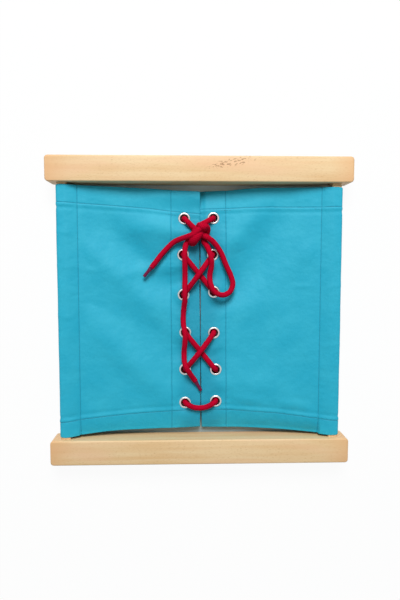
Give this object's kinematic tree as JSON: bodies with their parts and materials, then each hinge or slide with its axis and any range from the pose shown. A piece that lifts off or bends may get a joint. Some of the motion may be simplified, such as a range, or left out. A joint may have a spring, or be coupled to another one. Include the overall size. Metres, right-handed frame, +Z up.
{
  "type": "lacing frame",
  "caption": "Wooden dressing frame for lacing practice: two cloth panels sleeved on side bars between two rails, laced down the slit through metal eyelets and tied in a bow.",
  "frame": {"origin": "on the surface that the frame lies on, under the middle of the frame", "axes": "+X along the rails to the right as seen in use, +Y from the bottom rail to the top rail, +Z up out of the cloth's front"},
  "size_m": [0.305, 0.311, 0.027],
  "materials": {
    "beech": "smooth, clear matt lacquer",
    "screw_steel": "zinc plated",
    "canvas": "plain-woven cotton canvas",
    "eyelet_metal": "bright nickel",
    "lace_cord": "round braided cord",
    "lace_tip": "crimped tip"
  },
  "bodies": {
    "frame": {"top_rail": "beech", "bottom_rail": "beech", "left_side_bar": "beech", "right_side_bar": "beech", "left_sleeve": "canvas", "right_sleeve": "canvas", "frame_screw_1": "screw_steel", "frame_screw_2": "screw_steel", "frame_screw_3": "screw_steel", "frame_screw_4": "screw_steel"},
    "left_flap": {"left_flap": "canvas", "left_eyelet_1": "eyelet_metal", "left_eyelet_2": "eyelet_metal", "left_eyelet_3": "eyelet_metal", "left_eyelet_4": "eyelet_metal", "left_eyelet_5": "eyelet_metal", "left_eyelet_6": "eyelet_metal", "left_eyelet_washer_1": "eyelet_metal", "left_eyelet_washer_2": "eyelet_metal", "left_eyelet_washer_3": "eyelet_metal", "left_eyelet_washer_4": "eyelet_metal", "left_eyelet_washer_5": "eyelet_metal", "left_eyelet_washer_6": "eyelet_metal"},
    "right_flap": {"right_flap": "canvas", "right_eyelet_1": "eyelet_metal", "right_eyelet_2": "eyelet_metal", "right_eyelet_3": "eyelet_metal", "right_eyelet_4": "eyelet_metal", "right_eyelet_5": "eyelet_metal", "right_eyelet_6": "eyelet_metal", "right_eyelet_washer_1": "eyelet_metal", "right_eyelet_washer_2": "eyelet_metal", "right_eyelet_washer_3": "eyelet_metal", "right_eyelet_washer_4": "eyelet_metal", "right_eyelet_washer_5": "eyelet_metal", "right_eyelet_washer_6": "eyelet_metal"},
    "lace": {"lace_lacing": "lace_cord", "lace_loop_end": "lace_cord", "lace_long_end": "lace_cord", "loop_end_tip": "lace_tip", "long_end_tip": "lace_tip"}
  },
  "joints": [
    {"name": "left_flap_lift", "type": "hinge", "parent": "frame", "child": "left_flap", "pos_m": [-0.1234, 0, 0.0135], "axis": [0, -1, 0], "range_deg": [0, 7.5]},
    {"name": "right_flap_lift", "type": "hinge", "parent": "frame", "child": "right_flap", "pos_m": [0.1234, 0, 0.0135], "axis": [0, 1, 0], "range_deg": [0, 7.5]},
    {"name": "lace_lift", "type": "slide", "parent": "frame", "child": "lace", "axis": [0, 0, 1], "range_m": [0, 0.0146], "deforming": ["lace_lacing", "lace_loop_end", "lace_long_end", "loop_end_tip", "long_end_tip"]}
  ],
  "couplings": [
    {"joint": "right_flap_lift", "follows": "left_flap_lift", "ratio": 1},
    {"joint": "lace_lift", "follows": "left_flap_lift", "m_per_rad": 0.1106}
  ]
}
